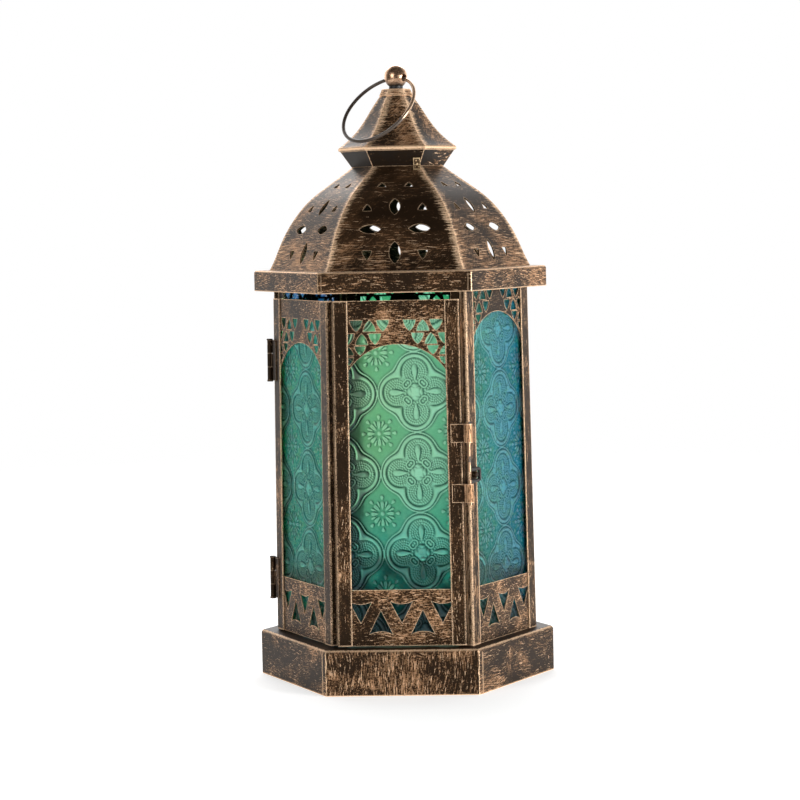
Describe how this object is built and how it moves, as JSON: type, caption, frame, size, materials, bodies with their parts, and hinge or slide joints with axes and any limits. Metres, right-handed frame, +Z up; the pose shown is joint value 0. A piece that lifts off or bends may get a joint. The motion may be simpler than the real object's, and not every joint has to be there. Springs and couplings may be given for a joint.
{
  "type": "hexagonal metal lantern",
  "caption": "Hexagonal Moroccan-style metal lantern with a pierced domed roof, arched relief-glass panes, a hinged and latched corner door, and a swinging hanging ring.",
  "frame": {"origin": "on the floor under the lantern's axis, at the middle of the hexagonal base's lower rim", "axes": "+Z up along the lantern's axis; -Y out of the front facet, which carries half of the door; +X to the right seen from the front, so the hinges are at -X"},
  "size_m": [0.1454, 0.1264, 0.3],
  "materials": {
    "bronzed_steel": "near-black brown coating, brushed with copper and worn to copper along every edge",
    "worn_copper": "satin copper, darkened in the hollows",
    "dark_wire": "dark bronze wire with copper rub marks",
    "brass_tab": "bare folded brass",
    "plated_steel": "dull plated steel",
    "glass_green": "cast relief glass, sea green",
    "glass_teal": "cast relief glass, teal",
    "glass_blue": "cast relief glass, blue"
  },
  "bodies": {
    "housing": {"base_tray": "bronzed_steel", "candle_cup": "bronzed_steel", "cap_collar": "bronzed_steel", "cap_crown": "bronzed_steel", "cap_lock_tabs": "brass_tab", "cap_pyramid": "bronzed_steel", "corner_angle_rear_left": "bronzed_steel", "corner_angle_rear_right": "bronzed_steel", "corner_angle_right": "bronzed_steel", "cup_rivet": "plated_steel", "eave_band": "bronzed_steel", "finial_ball": "worn_copper", "finial_nut": "plated_steel", "glass_clips_body": "plated_steel", "hinge_frame_leaf_lower": "bronzed_steel", "hinge_frame_leaf_upper": "bronzed_steel", "hinge_pin_lower": "bronzed_steel", "hinge_pin_upper": "bronzed_steel", "hinge_post_angle": "bronzed_steel", "latch_keeper": "bronzed_steel", "latch_post_angle": "bronzed_steel", "left_rear_glass": "glass_blue", "left_rear_screen": "bronzed_steel", "left_rear_stile_left": "bronzed_steel", "left_rear_stile_right": "bronzed_steel", "rear_glass": "glass_green", "rear_screen": "bronzed_steel", "rear_stile_left": "bronzed_steel", "rear_stile_right": "bronzed_steel", "right_front_glass": "glass_blue", "right_front_screen": "bronzed_steel", "right_front_stile_left": "bronzed_steel", "right_front_stile_right": "bronzed_steel", "right_rear_glass": "glass_green", "right_rear_screen": "bronzed_steel", "right_rear_stile_left": "bronzed_steel", "right_rear_stile_right": "bronzed_steel", "roof_gore_front": "bronzed_steel", "roof_gore_left_front": "bronzed_steel", "roof_gore_left_rear": "bronzed_steel", "roof_gore_rear": "bronzed_steel", "roof_gore_right_front": "bronzed_steel", "roof_gore_right_rear": "bronzed_steel"},
    "door": {"door_corner_angle": "bronzed_steel", "front_glass": "glass_green", "front_screen": "bronzed_steel", "front_stile_left": "bronzed_steel", "front_stile_right": "bronzed_steel", "glass_clips_door": "plated_steel", "hinge_door_leaf_lower": "bronzed_steel", "hinge_door_leaf_upper": "bronzed_steel", "latch_strap_lower": "bronzed_steel", "latch_strap_upper": "bronzed_steel", "left_front_glass": "glass_teal", "left_front_screen": "bronzed_steel", "left_front_stile_left": "bronzed_steel", "left_front_stile_right": "bronzed_steel"},
    "latch": {"latch_wire": "dark_wire"},
    "ring": {"hanging_ring": "dark_wire"}
  },
  "joints": [
    {"name": "door_swing", "type": "hinge", "parent": "housing", "child": "door", "pos_m": [-0.06577, 0, 0.1], "axis": [-0.0107, 0, -0.9999], "range_deg": [0, 120]},
    {"name": "latch_swing", "type": "hinge", "parent": "door", "child": "latch", "pos_m": [0.03333, -0.0575, 0.10955], "axis": [0.0053, -0.0092, -0.9999], "range_deg": [0, 170]},
    {"name": "ring_swing", "type": "hinge", "parent": "housing", "child": "ring", "pos_m": [0, 0, 0.2936], "axis": [-0.7727, 0.6347, 0], "range_deg": [0, 279.5]}
  ]
}
